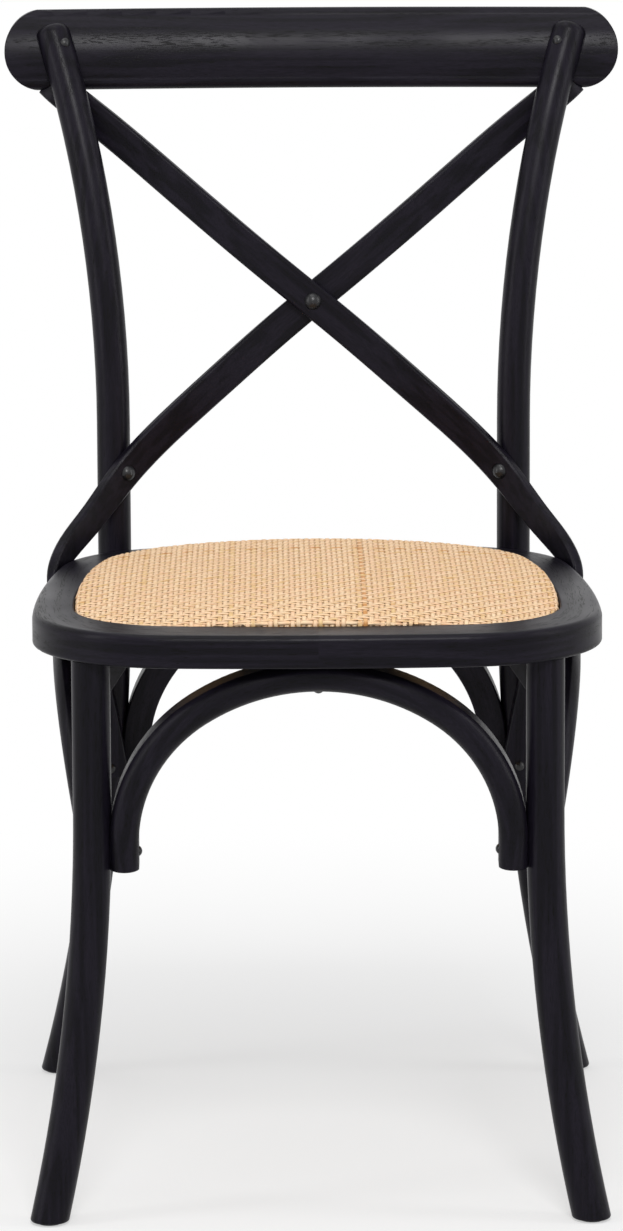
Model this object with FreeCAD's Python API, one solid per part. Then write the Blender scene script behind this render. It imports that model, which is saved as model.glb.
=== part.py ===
"""Cross back dining chair: round bentwood legs, a bowed crest rail, two crossed back straps,
a wide seat ring with a crowned woven rattan seat, and four bentwood arches under the seat.

Millimetres. X is the sitter's left to right as seen from the front, Y runs to the back, Z is up.
The origin is on the floor under the middle of the seat. Left means the -X side.
"""

import FreeCAD, Part
import math
import os

V = FreeCAD.Vector
UP = V(0, 0, 1)
LEFT = -1
RIGHT = 1
SIDES = {"left": LEFT, "right": RIGHT}

# Overall places
chair_height = 880.0
seat_height = 454.0

# Seat ring in plan: the corners before rounding, and how far each side bows out
ring_thickness = 25.0
ring_front_corner_x = 210.0
ring_front_corner_y = -237.0
ring_rear_corner_x = 185.0
ring_rear_corner_y = 150.0
ring_front_bow = 14.0
ring_side_bow = 16.0
ring_rear_bow = 6.0
ring_front_round = 112.0
ring_rear_round = 100.0
ring_band_front = 42.0
ring_band_side = 31.0
ring_band_rear = 30.0
ring_edge_round = 5.0
ring_lower_edge_round = 3.0
ring_inner_edge_round = 1.5
rebate_depth = 15.0
rebate_ledge = 10.0

# Seat build-up inside the ring
seat_clearance = 0.4
board_thickness = 9.0
weave_thickness = 1.8
weave_rise = 6.5
weave_edge_round = 4.0
crown_radius = 1300.0
crown_centre_y = -12.0

# Back legs: one bent rod each, vertical at the seat
back_leg_diameter = 26.5
back_leg_housing = 2.5
back_splay_angle = 31.5
back_splay_drop = 14.0
back_splay_radius = 983.0
post_lean_angle = 40.0
post_lean_rise = 102.0
post_lean_radius = 682.0
post_top_drop = 13.0
post_top_round = 7.0

# Front legs
front_leg_diameter = 29.0
front_leg_x = 170.0
front_leg_y = -204.0
front_splay_angle = 120.5
front_splay_drop = 139.0
front_splay_radius = 1230.0
front_tenon_diameter = 18.0
front_tenon_length = 14.0
front_tenon_root = 1.0
foot_round = 2.0
glide_diameter = 18.0
glide_thickness = 1.5

# Crest rail
crest_length = 490.0
crest_height = 65.0
crest_thickness = 27.0
crest_edge_thickness = 15.0
crest_bow_radius = 2100.0
crest_lean = 14.0
crest_end_round = 32.0
crest_end_ease = 0.5
crest_lap_depth = 13.0

# Back straps
strap_width = 25.5
strap_thickness = 8.0
strap_edge_round = 1.6
strap_cross_drop = 7.0
strap_cross_flat = 22.0
strap_post_inset = 9.8
strap_tenon = 8.0
strap_bolt_rise = 63.0
strap_bolt_angle = 36.9
strap_housing = 1.0
strap_seat_angle = 14.0
strap_foot_angle = 6.0
strap_twist_share = 0.55
strap_sweep = 4.0
strap_sag = 4.0
strap_front_ease = 3.0
strap_seat_housing = 0.8

# Arches under the seat: a D section, flat on the inner side
arch_radial = 22.0
arch_depth = 26.0
arch_end_height = 270.0
arch_straight = 20.0
arch_shoulder_share = 0.95
arch_bend_share = 0.95
arch_round_sag = 8.5
arch_edge_round = 1.5
arch_leg_housing = 1.5
arch_top_planed = 1.5
front_arch_set_forward = 21.0
rear_arch_set_forward = 21.0
rear_arch_set_back = 4.0
side_arch_set_out = 26.0
side_arch_front_inset = 4.0
side_arch_rear_inset = 4.0

# Corner blocks behind the front legs
block_length = 36.0
block_drop = 27.0
block_width = 16.0
block_angle = 35.0
block_housing = 1.5

# Fasteners: head diameter, head height, shank diameter, length
cross_bolt = (13.5, 4.2, 5.0, 20.0)
post_bolt = (12.5, 4.0, 5.0, 38.0)
crest_nail = (9.0, 3.0, 2.8, 26.0)
strap_top_screw = (8.0, 2.4, 3.5, 24.0)
strap_seat_screw = (8.0, 2.4, 4.0, 26.0)
leg_bolt = (12.0, 3.5, 6.0, 46.0)
arch_screw = (8.0, 2.4, 4.0, 32.0)
apex_screw = (8.0, 2.4, 4.0, 34.0)
block_screw = (7.0, 2.0, 3.5, 17.0)
board_screw = (7.0, 2.2, 3.5, 16.0)
nut_diameter = 10.0
nut_height = 3.0
crest_nail_drop = 25.0
front_screw_rise = 13.0
side_screw_rise = 8.0
block_screw_share = 0.55
board_screw_offset = 60.0

# Places worked out from the sizes above
back_splay_start = seat_height - back_splay_drop
front_splay_start = seat_height - front_splay_drop
strap_bolt_height = seat_height + strap_bolt_rise
post_lean_start = seat_height + post_lean_rise
post_top_height = chair_height - post_top_drop
crest_nail_height = chair_height - crest_nail_drop
ring_bottom = seat_height - ring_thickness
leg_radius = back_leg_diameter / 2
front_radius = front_leg_diameter / 2
half_strap = strap_thickness / 2


def plan_direction(angle, side):
    """Unit vector in plan, turned by angle degrees from straight back towards the given side."""
    turn = math.radians(angle)
    return V(side * math.sin(turn), math.cos(turn), 0)


def bend_offset(radius, height):
    """How far an arc that starts upright has moved sideways after rising by height."""
    return radius - math.sqrt(radius * radius - height * height)


def bend_points(base, direction, radius, height, steps=2):
    """Points along an upright arc that starts at base and leans towards direction."""
    points = []
    for i in range(steps + 1):
        rise = height * i / steps
        points.append(base + direction * bend_offset(radius, abs(rise)) + UP * rise)
    return points


def arc_edge(points):
    """Arc edge through three points."""
    return Part.Arc(*points).toShape()


def line_edge(start, end):
    """Straight edge between two points."""
    return Part.LineSegment(start, end).toShape()


def moved(point, x=0.0, y=0.0, z=0.0):
    """The point shifted by the given amounts."""
    return V(point.x + x, point.y + y, point.z + z)


def only_solid(shape):
    """The largest solid of a boolean result, as a plain solid."""
    return max(shape.Solids, key=lambda solid: solid.Volume)


def swept_rod(path_edges, radii):
    """Round rod along a tangent path, with one radius or a radius at each end."""
    path = Part.Wire(path_edges)
    start = path_edges[0].valueAt(path_edges[0].FirstParameter)
    start_way = path_edges[0].tangentAt(path_edges[0].FirstParameter)
    end = path_edges[-1].valueAt(path_edges[-1].LastParameter)
    end_way = path_edges[-1].tangentAt(path_edges[-1].LastParameter)
    profiles = [Part.Wire(Part.makeCircle(radii[0], start, start_way))]
    if len(radii) > 1:
        profiles.append(Part.Wire(Part.makeCircle(radii[1], end, end_way)))
    return only_solid(path.makePipeShell(profiles, True, False))


def fastener(head, way, sizes, nut_at=0.0):
    """Domed head resting at the point head, with its shank going along way."""
    head_diameter, head_height, shank_diameter, length = sizes
    direction = V(way).normalize()
    aside = direction.cross(V(direction.z, direction.x, direction.y)).normalize()

    def spot(out, along):
        return head + aside * out + direction * along

    half = head_diameter / 2
    shank = shank_diameter / 2
    dome_radius = (half * half + head_height * head_height) / (2 * head_height)
    dome_turn = math.asin(half / dome_radius) / 2
    bulge = spot(dome_radius * math.sin(dome_turn), dome_radius * (1 - math.cos(dome_turn)) - head_height)
    corners = [spot(half, 0), spot(shank, 0)]
    if nut_at:
        nut = nut_diameter / 2
        corners += [spot(shank, nut_at), spot(nut, nut_at), spot(nut, nut_at + nut_height),
                    spot(shank, nut_at + nut_height)]
    corners += [spot(shank, length), spot(0, length), spot(0, -head_height)]
    edges = [arc_edge([corners[-1], bulge, corners[0]])]
    edges += [line_edge(start, end) for start, end in zip(corners, corners[1:])]
    return only_solid(Part.Face(Part.Wire(edges)).revolve(head, direction, 360))


# Seat ring and what lies in it


def bowed_side(start, end, bow):
    """Circle, as centre and radius, of an outline side that bows out by bow between two corners."""
    chord = end - start
    outward = V(chord.y, -chord.x, 0).normalize()
    radius = (chord.Length**2 / 4 + bow * bow) / (2 * bow)
    return (start + end) * 0.5 + outward * (bow - radius), radius


def rounding_centre(first, second, radius, corner):
    """Centre of the rounding that touches two bowed sides from inside, near their corner."""
    reach_a = first[1] - radius
    reach_b = second[1] - radius
    gap = second[0] - first[0]
    along = (reach_a**2 - reach_b**2 + gap.Length**2) / (2 * gap.Length)
    aside = math.sqrt(reach_a**2 - along**2)
    way = V(gap).normalize()
    normal = V(-way.y, way.x, 0)
    choices = [first[0] + way * along + normal * aside, first[0] + way * along - normal * aside]
    return min(choices, key=lambda point: point.distanceToPoint(corner))


def seat_outline(front, side, rear):
    """Sides and corner roundings of the ring's outline, drawn in by front, side and rear."""
    front_x = ring_front_corner_x - side
    rear_x = ring_rear_corner_x - side
    front_y = ring_front_corner_y + front
    rear_y = ring_rear_corner_y - rear
    corners = [V(-front_x, front_y, 0), V(front_x, front_y, 0), V(rear_x, rear_y, 0), V(-rear_x, rear_y, 0)]
    bows = [ring_front_bow, ring_side_bow, ring_rear_bow, ring_side_bow]
    sides = [bowed_side(corners[i], corners[(i + 1) % 4], bows[i]) for i in range(4)]
    radii = [ring_front_round - side, ring_front_round - side, ring_rear_round - side, ring_rear_round - side]
    roundings = []
    for i, corner in enumerate(corners):
        roundings.append((rounding_centre(sides[i - 1], sides[i], radii[i], corner), radii[i]))
    return sides, roundings


def point_towards(circle, target):
    """Point of a circle in the direction of the target."""
    centre, radius = circle
    return centre + (target - centre).normalize() * radius


def seat_prism(front, side, rear, bottom, height):
    """Upright block with the ring's outline, drawn in by the given amounts at front, side and rear."""
    sides, roundings = seat_outline(front, side, rear)
    edges = []
    for i in range(4):
        rounding = roundings[i]
        start = point_towards(sides[i - 1], rounding[0] * 2 - sides[i - 1][0])
        end = point_towards(sides[i], rounding[0] * 2 - sides[i][0])
        middle = point_towards(rounding, (start + end) * 0.5)
        edges.append(arc_edge((start, middle, end)))
        far = point_towards(sides[i], roundings[(i + 1) % 4][0] * 2 - sides[i][0])
        edges.append(arc_edge((end, point_towards(sides[i], (end + far) * 0.5), far)))
    face = Part.Face(Part.Wire(edges))
    face.translate(V(0, 0, bottom))
    return face.extrude(V(0, 0, height))


def ring_outer_corner(side):
    """Centre in plan of the rounding at a rear corner of the ring."""
    roundings = seat_outline(0, 0, 0)[1]
    return V(roundings[2][0] if side == RIGHT else roundings[3][0])


def level_edges(shape, height, within=None):
    """Edges that lie at one height; within keeps those inside another shape's plan extent."""
    found = []
    for edge in shape.Edges:
        box = edge.BoundBox
        if abs(box.ZMin - height) > 0.01 or abs(box.ZMax - height) > 0.01:
            continue
        if within is None or fits_in_plan(box, within.BoundBox):
            found.append(edge)
    return found


def fits_in_plan(box, outer):
    """True where box lies inside outer, seen from above."""
    slack = 0.05
    in_x = box.XMin > outer.XMin - slack and box.XMax < outer.XMax + slack
    return in_x and box.YMin > outer.YMin - slack and box.YMax < outer.YMax + slack


def make_ring():
    """Seat ring with a rebate that carries the seat board."""
    ring = seat_prism(0, 0, 0, ring_bottom, ring_thickness)
    ring = ring.makeFillet(ring_edge_round, level_edges(ring, seat_height))
    ring = ring.makeFillet(ring_lower_edge_round, level_edges(ring, ring_bottom))
    bands = (ring_band_front, ring_band_side, ring_band_rear)
    upper = seat_prism(*bands, seat_height - rebate_depth, rebate_depth + ring_thickness)
    ledge = [band + rebate_ledge for band in bands]
    lower = seat_prism(*ledge, ring_bottom - ring_thickness, ring_thickness * 3)
    ring = only_solid(ring.cut(upper).cut(lower))
    return ring.makeFillet(ring_inner_edge_round, level_edges(ring, seat_height, within=upper))


def seat_insert(bottom, top_drop, clearance):
    """Crowned block inside the ring, from bottom up to top_drop under the woven surface."""
    bands = [band + clearance for band in (ring_band_front, ring_band_side, ring_band_rear)]
    block = seat_prism(*bands, bottom, ring_thickness * 2)
    half_width = ring_front_corner_x - ring_band_side
    edge_drop = crown_radius - math.sqrt(crown_radius**2 - half_width**2)
    crown_top = seat_height + weave_rise + edge_drop - top_drop
    ball = Part.makeSphere(crown_radius, V(0, crown_centre_y, crown_top - crown_radius))
    insert = only_solid(block.common(ball))
    rim = [edge for edge in insert.Edges if edge.BoundBox.ZMin > seat_height - top_drop - weave_edge_round]
    return insert.makeFillet(weave_edge_round - top_drop, rim)


def make_board():
    """Plywood board that lies on the ring's ledge."""
    bottom = seat_height - rebate_depth
    bands = [band + seat_clearance for band in (ring_band_front, ring_band_side, ring_band_rear)]
    return seat_prism(*bands, bottom, board_thickness)


def make_weave():
    """Crowned woven skin that is pressed down at its rim."""
    bottom = seat_height - rebate_depth + board_thickness
    outer = seat_insert(bottom, 0.0, seat_clearance)
    return only_solid(outer.cut(make_padding()))


def make_padding():
    """Thin crowned padding under the weave."""
    bottom = seat_height - rebate_depth + board_thickness
    return seat_insert(bottom, weave_thickness, seat_clearance + weave_thickness)


# Legs


def back_leg_centre(side):
    """Plan place of a back leg at the seat: against the ring's rounded rear corner."""
    reach = ring_rear_round + leg_radius - back_leg_housing
    return ring_outer_corner(side) + plan_direction(back_splay_angle, side) * reach


def post_point(side, height):
    """Centre of a back post at a height above the seat."""
    base = moved(back_leg_centre(side), z=height)
    rise = max(0.0, height - post_lean_start)
    return base + plan_direction(post_lean_angle, side) * bend_offset(post_lean_radius, rise)


def back_leg_point(side, height):
    """Centre of a back leg at a height under the seat."""
    base = moved(back_leg_centre(side), z=height)
    drop = max(0.0, back_splay_start - height)
    return base + plan_direction(back_splay_angle, side) * bend_offset(back_splay_radius, drop)


def trimmed_foot(leg):
    """The leg cut level above its glide, with the cut edge rounded."""
    size = chair_height
    below = Part.makeBox(size * 2, size * 2, size, V(-size, -size, glide_thickness - size))
    leg = only_solid(leg.cut(below))
    return leg.makeFillet(foot_round, level_edges(leg, glide_thickness))


def make_back_leg(side):
    """One bent rod from the floor to the crest rail."""
    base = back_leg_centre(side)
    below_floor = back_leg_diameter
    low = bend_points(moved(base, z=back_splay_start), plan_direction(back_splay_angle, side),
                      back_splay_radius, -(back_splay_start + below_floor))
    high = bend_points(moved(base, z=post_lean_start), plan_direction(post_lean_angle, side),
                       post_lean_radius, post_top_height - post_lean_start)
    path = [arc_edge(low[::-1]), line_edge(low[0], high[0]), arc_edge(high)]
    leg = trimmed_foot(swept_rod(path, [leg_radius]))
    top_edges = [e for e in leg.Edges if e.BoundBox.ZMin > post_top_height - back_leg_diameter
                 and isinstance(e.Curve, Part.Circle) and e.Closed]
    return only_solid(leg.makeFillet(post_top_round, top_edges[-1:]))


def front_leg_point(side, height):
    """Centre of a front leg at a height."""
    base = V(side * front_leg_x, front_leg_y, height)
    drop = max(0.0, front_splay_start - height)
    return base + plan_direction(front_splay_angle, side) * bend_offset(front_splay_radius, drop)


def make_front_leg(side):
    """Front leg that splays outwards at its foot, with a round tenon for the ring."""
    top = V(side * front_leg_x, front_leg_y, ring_bottom)
    knee = moved(top, z=front_splay_start - ring_bottom)
    below_floor = front_leg_diameter
    low = bend_points(knee, plan_direction(front_splay_angle, side),
                      front_splay_radius, -(front_splay_start + below_floor))
    leg = swept_rod([line_edge(top, knee), arc_edge(low)], [front_radius])
    tenon = Part.makeCylinder(front_tenon_diameter / 2, front_tenon_length + front_tenon_root,
                              moved(top, z=-front_tenon_root), UP)
    return trimmed_foot(only_solid(leg.fuse(tenon)))


def make_glide(point):
    """Foot glide: a flat disc pressed on the end of a leg."""
    return Part.makeCylinder(glide_diameter / 2, glide_thickness, V(point.x, point.y, 0), UP)


# Crest rail


def crest_half_rise():
    """Half of the leaning crest rail's height, measured upright."""
    edge = crest_edge_thickness / 2
    return (crest_height / 2 - edge) * math.cos(math.radians(crest_lean)) + edge


def crest_middle():
    """Centre of the crest rail at the middle of the chair."""
    height = chair_height - crest_half_rise()
    post = post_point(RIGHT, height)
    sag = crest_bow_radius - math.sqrt(crest_bow_radius**2 - post.x**2)
    return V(0, post.y + crest_thickness / 2 + leg_radius - crest_lap_depth + sag, height)


def crest_section():
    """Upright section of the crest rail: bowed faces and rounded top and bottom."""
    half_height = crest_height / 2 - crest_edge_thickness / 2
    edge = crest_edge_thickness / 2
    middle = crest_thickness / 2
    front = [V(0, -edge, -half_height), V(0, -middle, 0), V(0, -edge, half_height)]
    top = [V(0, -edge, half_height), V(0, 0, crest_height / 2), V(0, edge, half_height)]
    back = [V(0, edge, half_height), V(0, middle, 0), V(0, edge, -half_height)]
    bottom = [V(0, edge, -half_height), V(0, 0, -crest_height / 2), V(0, -edge, -half_height)]
    face = Part.Face(Part.Wire([arc_edge(points) for points in (front, top, back, bottom)]))
    face.rotate(V(0, 0, 0), V(1, 0, 0), -crest_lean)
    return face


def make_crest():
    """Bowed crest rail with rounded ends."""
    centre = crest_middle()
    face = crest_section()
    face.translate(centre)
    half_turn = math.degrees(math.asin(min(0.9, (crest_length / 2 + crest_thickness) / crest_bow_radius)))
    axis = V(0, centre.y - crest_bow_radius, 0)
    face.rotate(axis, UP, -half_turn)
    rail = face.revolve(axis, UP, half_turn * 2)
    depth = crest_length
    reach = crest_half_rise() + crest_end_ease
    corner = V(-crest_length / 2, centre.y - depth / 2, centre.z - reach)
    outline = Part.makeBox(crest_length, depth, reach * 2, corner)
    turned = [e for e in outline.Edges if abs(e.tangentAt(e.FirstParameter).y) > 0.9]
    outline = outline.makeFillet(min(crest_end_round, reach * 0.98), turned)
    return only_solid(rail.common(outline))


# Back straps


def strap_top_height():
    """Height at which the straps end inside the crest rail."""
    return crest_middle().z - crest_half_rise() + strap_tenon


def strap_high_height():
    """Height at which the straps are fixed to the backs of the posts."""
    return strap_top_height() - strap_width


def strap_cross_height():
    """Height at which the straps cross, a little under the middle between their fixings."""
    return (strap_high_height() + strap_bolt_height) / 2 - strap_cross_drop


def strap_slope():
    """Rise over run of the straps above their crossing."""
    height = strap_high_height()
    return (height - strap_cross_height()) / (post_point(RIGHT, height).x - strap_post_inset)


def strap_high_point(side, set_forward):
    """Where a strap lies against the back of the post, and the way its face points there."""
    height = strap_high_height()
    x = -side * (height - strap_cross_height()) / strap_slope()
    post = post_point(-side, height)
    y = post.y + leg_radius + half_strap - strap_housing
    cross_y = strap_cross_depth() + set_forward
    lean = (y - cross_y) / (abs(x) - strap_cross_flat)
    return V(x, y, height), V(side * lean, 1, 0).normalize(), lean


def strap_cross_depth():
    """Depth of the plane in which the two straps meet."""
    return (post_point(RIGHT, strap_high_height()).y + back_leg_centre(RIGHT).y) / 2


def strap_stations(front_strap, side):
    """Centres and face directions along one strap, from its top to its foot on the given side."""
    slope = strap_slope()
    set_forward = -half_strap if front_strap else half_strap
    cross_y = strap_cross_depth() + set_forward
    high, upper_face, lean = strap_high_point(side, set_forward)
    beyond = strap_width / slope
    top = V(high.x - side * beyond, high.y + lean * beyond, high.z + strap_width)
    flat_drop = strap_cross_flat * slope
    before = V(-side * strap_cross_flat, cross_y, strap_cross_height() + flat_drop)
    after = V(side * strap_cross_flat, cross_y, strap_cross_height() - flat_drop)
    bolt = strap_bolt_point(side)
    seat_reach = ring_rear_round + half_strap - strap_seat_housing
    seat_way = plan_direction(90 - strap_seat_angle, side)
    foot_way = plan_direction(90 + strap_foot_angle - strap_seat_angle, side)
    seat = ring_outer_corner(side) + seat_way * seat_reach + UP * seat_height
    foot = ring_outer_corner(side) + foot_way * seat_reach + UP * ring_bottom
    middle_way = plan_direction((strap_bolt_angle + 90 - strap_seat_angle) / 2, side)
    middle = (bolt + seat) * 0.5 + middle_way * strap_sweep - UP * strap_sag
    low = after + (bolt - after) * 0.5 + V(0, strap_front_ease, strap_front_ease)
    return [
        (top, upper_face),
        (high, upper_face),
        ((high + before) * 0.5, upper_face),
        (before, V(0, 1, 0)),
        (after, V(0, 1, 0)),
        (low, plan_direction(strap_bolt_angle * strap_twist_share, side)),
        (bolt, plan_direction(strap_bolt_angle, side)),
        (middle, middle_way),
        (seat, seat_way),
        (foot, foot_way),
    ]


def strap_bolt_point(side):
    """Centre of a strap where it is bolted to the front of a post."""
    way = plan_direction(strap_bolt_angle, side)
    centre = moved(back_leg_centre(side), z=strap_bolt_height)
    return centre - way * (leg_radius + half_strap - strap_housing)


def strap_section(centre, way, face_way):
    """Rounded flat section of a strap, square to its run."""
    run = V(way).normalize()
    across = run.cross(face_way).normalize()
    through = across.cross(run).normalize()
    half_width = strap_width / 2
    r = strap_edge_round
    corners = [(1, 1), (-1, 1), (-1, -1), (1, -1)]
    points = []
    for u, v in corners:
        flat = centre + across * (u * (half_width - r)) + through * (v * half_strap)
        side = centre + across * (u * half_width) + through * (v * (half_strap - r))
        points.extend([flat, side] if u * v < 0 else [side, flat])
    points.append(points[0])
    return Part.makePolygon(points)


def make_strap(front_strap, side):
    """One back strap: straight across the back, then bent forward and round the ring's rear corner."""
    stations = strap_stations(front_strap, side)
    curve = Part.BSplineCurve()
    curve.interpolate([centre for centre, face_way in stations])
    sections = []
    for centre, face_way in stations:
        way = curve.tangent(curve.parameter(centre))[0]
        sections.append(strap_section(centre, way, face_way))
    strap = Part.makeLoft(sections, True, False)
    size = chair_height
    above = Part.makeBox(size * 2, size * 2, size, V(-size, -size, strap_top_height()))
    return only_solid(strap.cut(above))


# Arches under the seat


def arch_path(start, end, apex):
    """Tangent lines and arcs of an arch: two upright ends, two shoulders and a flatter crown.

    The ends are arch_straight long, and longer where the arch is higher than its bend can be.
    """
    along = (end - start).normalize()
    middle = (start + end) * 0.5
    rise = apex - middle
    up = V(rise).normalize()
    half_span = (end - start).Length / 2
    height = min(rise.Length - arch_straight, arch_bend_share * half_span)
    straight = rise.Length - height
    shoulder = arch_shoulder_share * height
    inset = half_span - shoulder
    crown = (inset**2 + height**2 - shoulder**2) / (2 * (height - shoulder))

    def place(x, y):
        return middle + along * x + up * y

    crown_centre = rise.Length - crown
    lean = math.atan2(inset, straight - crown_centre)
    knee = (crown * math.sin(lean), crown_centre + crown * math.cos(lean))
    half_turn = (math.pi / 2 + lean) / 2
    bend = (inset + shoulder * math.sin(half_turn), straight + shoulder * math.cos(half_turn))
    left = [place(-half_span, straight), place(-bend[0], bend[1]), place(-knee[0], knee[1])]
    right = [place(knee[0], knee[1]), place(bend[0], bend[1]), place(half_span, straight)]
    edges = [line_edge(start, left[0]), arc_edge(left), arc_edge([left[2], apex, right[0]]),
             arc_edge(right), line_edge(right[2], end)]
    return edges, along, up


def follow_path(face, edges):
    """Solid that a face leaves behind as it is carried along tangent lines and arcs."""
    solids = []
    for edge in edges:
        face = face.copy()
        if isinstance(edge.Curve, Part.Line):
            run = edge.valueAt(edge.LastParameter) - edge.valueAt(edge.FirstParameter)
            solids.append(face.extrude(run))
            face.translate(run)
        else:
            turn = math.degrees(edge.LastParameter - edge.FirstParameter)
            solids.append(face.revolve(edge.Curve.Center, edge.Curve.Axis, turn))
            face.rotate(edge.Curve.Center, edge.Curve.Axis, turn)
    return only_solid(solids[0].multiFuse(solids[1:]).removeSplitter())


def make_arch(start, end, apex, outward):
    """Bent arch of D section from start over apex to end, rounded on its outward side."""
    edges, along, up = arch_path(start, end, apex)
    normal = along.cross(up).normalize()
    if normal.dot(outward) < 0:
        normal = normal * -1
    r = arch_edge_round
    half = arch_radial / 2
    back = -arch_depth / 2
    shoulder = arch_depth / 2 - arch_round_sag
    diagonal = r * (1 - math.sqrt(0.5))

    def spot(x, y):
        return start + along * x + normal * y

    profile = Part.Wire([
        line_edge(spot(-half + r, back), spot(half - r, back)),
        arc_edge([spot(half - r, back), spot(half - diagonal, back + diagonal), spot(half, back + r)]),
        line_edge(spot(half, back + r), spot(half, shoulder)),
        arc_edge([spot(half, shoulder), spot(0, arch_depth / 2), spot(-half, shoulder)]),
        line_edge(spot(-half, shoulder), spot(-half, back + r)),
        arc_edge([spot(-half, back + r), spot(-half + diagonal, back + diagonal), spot(-half + r, back)]),
    ])
    return follow_path(Part.Face(profile), edges)


def arch_apex_height():
    """Height of an arch's centre line under the ring, which lies on its planed top."""
    return ring_bottom - arch_radial / 2 + arch_top_planed


def arch_contact_height():
    """Middle height of the stretch where an arch lies against a leg."""
    return arch_end_height + arch_straight / 2


def front_arch_ends():
    """Start, end and apex of the front arch."""
    x = front_leg_x - front_radius - arch_radial / 2 + arch_leg_housing
    apex = V(0, front_leg_y - front_arch_set_forward, arch_apex_height())
    return V(-x, front_leg_y, arch_end_height), V(x, front_leg_y, arch_end_height), apex


def rear_arch_ends():
    """Start, end and apex of the rear arch."""
    leg = back_leg_point(RIGHT, arch_contact_height())
    x = leg.x - leg_radius - arch_radial / 2 + arch_leg_housing
    y = leg.y + rear_arch_set_back
    apex = V(0, y - rear_arch_set_forward, arch_apex_height())
    return V(-x, y, arch_end_height), V(x, y, arch_end_height), apex


def side_arch_ends(side):
    """Front end, rear end and apex of a side arch."""
    leg = back_leg_point(side, arch_contact_height())
    front_y = front_leg_y + front_radius + arch_radial / 2 - arch_leg_housing
    rear_y = leg.y - leg_radius - arch_radial / 2 + arch_leg_housing
    start = V(side * (front_leg_x - side_arch_front_inset), front_y, arch_end_height)
    end = V(leg.x - side * side_arch_rear_inset, rear_y, arch_end_height)
    apex = (start + end) * 0.5 + V(side * side_arch_set_out, 0, 0)
    apex.z = arch_apex_height()
    return start, end, apex


# Corner blocks


def block_start(side):
    """Top corner of a corner block on the surface of its leg, and the way the block runs."""
    way = V(-side * math.sin(math.radians(block_angle)), math.cos(math.radians(block_angle)), 0)
    start = V(side * front_leg_x, front_leg_y, ring_bottom) + way * (front_radius - block_housing)
    return start, way


def make_corner_block(side):
    """Three-cornered block under the ring, against the back of a front leg."""
    start, way = block_start(side)
    across = way.cross(UP)
    start = start - across * (block_width / 2)
    points = [start, start + way * block_length, start - UP * block_drop, start]
    return Part.Face(Part.makePolygon(points)).extrude(across * block_width)


# Fasteners


def make_cross_bolt():
    """Domed bolt through both straps where they cross, with its nut behind."""
    head = V(0, strap_cross_depth() - strap_thickness, strap_cross_height())
    return fastener(head, V(0, 1, 0), cross_bolt, nut_at=strap_thickness * 2)


def make_post_bolt(side):
    """Domed bolt through a strap and a post."""
    way = plan_direction(strap_bolt_angle, side)
    grip = strap_thickness + back_leg_diameter - strap_housing * 2
    return fastener(strap_bolt_point(side) - way * half_strap, way, post_bolt, nut_at=grip)


def make_crest_nail(side):
    """Domed nail through the top of a post into the crest rail."""
    way = plan_direction(strap_bolt_angle, side)
    centre = post_point(side, crest_nail_height)
    return fastener(centre - way * leg_radius, way, crest_nail)


def make_strap_top_screw(side):
    """Screw through the upper end of the strap that rises to this side, into the back of the post."""
    set_forward = half_strap if side == RIGHT else -half_strap
    high, face_way, lean = strap_high_point(-side, set_forward)
    return fastener(high + face_way * half_strap, face_way * -1, strap_top_screw)


def make_strap_seat_screw(side):
    """Screw through the foot of a strap into the side of the ring."""
    way = plan_direction(90 + strap_foot_angle / 2 - strap_seat_angle, side)
    reach = ring_rear_round + strap_thickness - strap_seat_housing
    head = ring_outer_corner(side) + way * reach + UP * (ring_bottom + ring_thickness / 2)
    return fastener(head, way * -1, strap_seat_screw)


def make_leg_bolt(side):
    """Bolt through a back leg into the ring."""
    way = plan_direction(back_splay_angle, side)
    centre = moved(back_leg_centre(side), z=ring_bottom + ring_thickness / 2)
    return fastener(centre + way * leg_radius, way * -1, leg_bolt)


def make_arch_leg_screws():
    """Screws through the ends of the arches into the legs."""
    screws = []
    front_start, front_end, front_apex = front_arch_ends()
    rear_start, rear_end, rear_apex = rear_arch_ends()
    ends = [(front_start, front_end, front_apex, front_screw_rise),
            (rear_start, rear_end, rear_apex, front_screw_rise)]
    for side in SIDES.values():
        ends.append((*side_arch_ends(side), side_screw_rise))
    for start, end, apex, rise in ends:
        along = (end - start).normalize()
        up = (apex - (start + end) * 0.5).normalize()
        inner = arch_radial / 2
        screws.append(fastener(start + up * rise + along * inner, along * -1, arch_screw))
        screws.append(fastener(end + up * rise - along * inner, along, arch_screw))
    return Part.makeCompound(screws)


def make_apex_screws():
    """Screws up through the top of each arch into the ring."""
    apexes = [front_arch_ends()[2], rear_arch_ends()[2]]
    apexes.extend(side_arch_ends(side)[2] for side in SIDES.values())
    return Part.makeCompound([fastener(moved(apex, z=-arch_radial / 2), UP, apex_screw) for apex in apexes])


def make_block_screws():
    """Screws up through the corner blocks into the ring, sunk into the sloping face."""
    screws = []
    for side in SIDES.values():
        start, way = block_start(side)
        drop = block_drop * (1 - block_screw_share) - block_screw[1] * 2
        head = start + way * (block_length * block_screw_share) - UP * drop
        screws.append(fastener(head, UP, block_screw))
    return Part.makeCompound(screws)


def make_board_screws():
    """Screws up through the ring's ledge into the seat board, one on each side."""
    half = rebate_ledge / 2
    bands = [ring_band_front + half, ring_band_side + half, ring_band_rear + half]
    sides = seat_outline(*bands)[0]
    middle_y = (ring_front_corner_y + ring_rear_corner_y) / 2
    far = ring_front_corner_x
    targets = [V(board_screw_offset, middle_y - far, 0), V(far, middle_y + board_screw_offset, 0),
               V(-board_screw_offset, middle_y + far, 0), V(-far, middle_y + board_screw_offset, 0)]
    screws = []
    for circle, target in zip(sides, targets):
        point = point_towards(circle, target)
        screws.append(fastener(V(point.x, point.y, ring_bottom), UP, board_screw))
    return Part.makeCompound(screws)


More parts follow.
